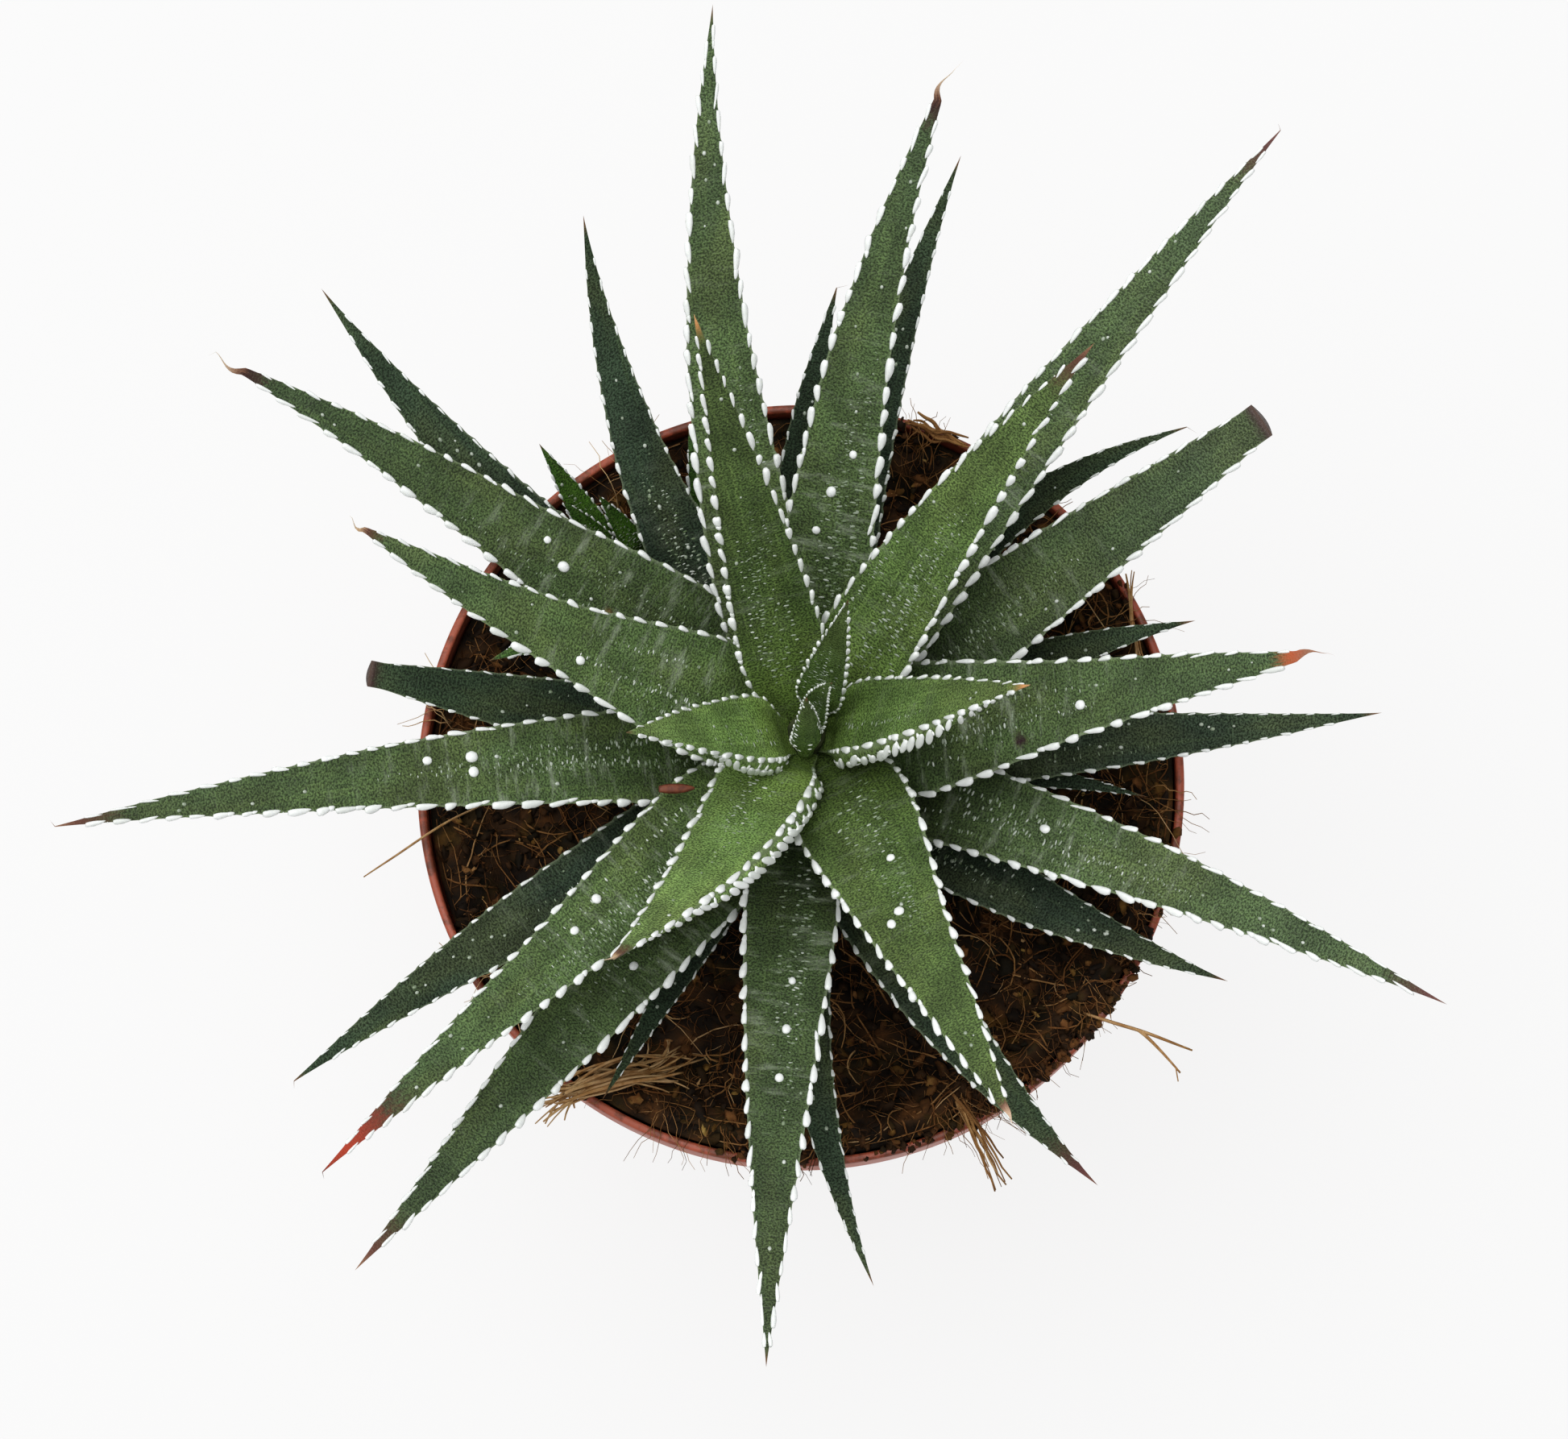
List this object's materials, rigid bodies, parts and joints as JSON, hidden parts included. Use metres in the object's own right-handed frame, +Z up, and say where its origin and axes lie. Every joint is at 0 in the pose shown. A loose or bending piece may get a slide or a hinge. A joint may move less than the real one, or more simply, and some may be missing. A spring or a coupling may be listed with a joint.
{
  "type": "potted haworthia",
  "caption": "Rosette succulent with long pointed white-tubercled leaves and small offsets, growing in peat in a round tapered plastic nursery pot",
  "frame": {"origin": "middle of the pot's underside, on the surface the pot stands on", "axes": "+Z up along the pot's axis; -Y faces the viewer; +X to the viewer's right"},
  "size_m": [0.1538, 0.1515, 0.146],
  "materials": {
    "pot_plastic": "semi-matte terracotta-coloured moulded plastic",
    "peat": null,
    "stem": "corky plant stem and roots",
    "young_leaf": "fleshy light green leaf with white tubercles; stands in for leaf tissue",
    "grown_leaf": "fleshy green leaf with white tubercles; stands in for leaf tissue",
    "old_leaf": "fleshy dark blue-green leaf with white tubercles; stands in for leaf tissue",
    "offset_leaf": "fleshy bright green small leaf; stands in for leaf tissue",
    "dry_fibre": "dry straw, bark, husk and root ends"
  },
  "bodies": {
    "root": {"pot": "pot_plastic", "soil": "peat", "stem_with_roots": "stem", "inner_leaf_1": "young_leaf", "inner_leaf_2": "young_leaf", "inner_leaf_3": "young_leaf", "inner_leaf_4": "young_leaf", "inner_leaf_5": "young_leaf", "inner_leaf_6": "young_leaf", "inner_leaf_7": "young_leaf", "inner_leaf_8": "young_leaf", "inner_leaf_9": "young_leaf", "middle_leaf_1": "grown_leaf", "middle_leaf_2": "grown_leaf", "middle_leaf_3": "grown_leaf", "middle_leaf_4": "grown_leaf", "middle_leaf_5": "grown_leaf", "middle_leaf_6": "grown_leaf", "middle_leaf_7": "grown_leaf", "middle_leaf_8": "grown_leaf", "middle_leaf_9": "grown_leaf", "middle_leaf_10": "grown_leaf", "middle_leaf_11": "grown_leaf", "middle_leaf_12": "grown_leaf", "outer_leaf_1": "old_leaf", "outer_leaf_2": "old_leaf", "outer_leaf_3": "old_leaf", "outer_leaf_4": "old_leaf", "outer_leaf_5": "old_leaf", "outer_leaf_6": "old_leaf", "outer_leaf_7": "old_leaf", "outer_leaf_8": "old_leaf", "outer_leaf_9": "old_leaf", "outer_leaf_10": "old_leaf", "outer_leaf_11": "old_leaf", "outer_leaf_12": "old_leaf", "outer_leaf_13": "old_leaf", "outer_leaf_14": "old_leaf", "offset_leaf_1": "offset_leaf", "offset_leaf_2": "offset_leaf", "offset_leaf_3": "offset_leaf", "offset_leaf_4": "offset_leaf", "offset_leaf_5": "offset_leaf", "dry_husk": "dry_fibre", "bark_strip": "dry_fibre", "straw": "dry_fibre", "straw_tuft": "dry_fibre", "forked_root": "dry_fibre", "thin_root": "dry_fibre"}
  },
  "joints": []
}
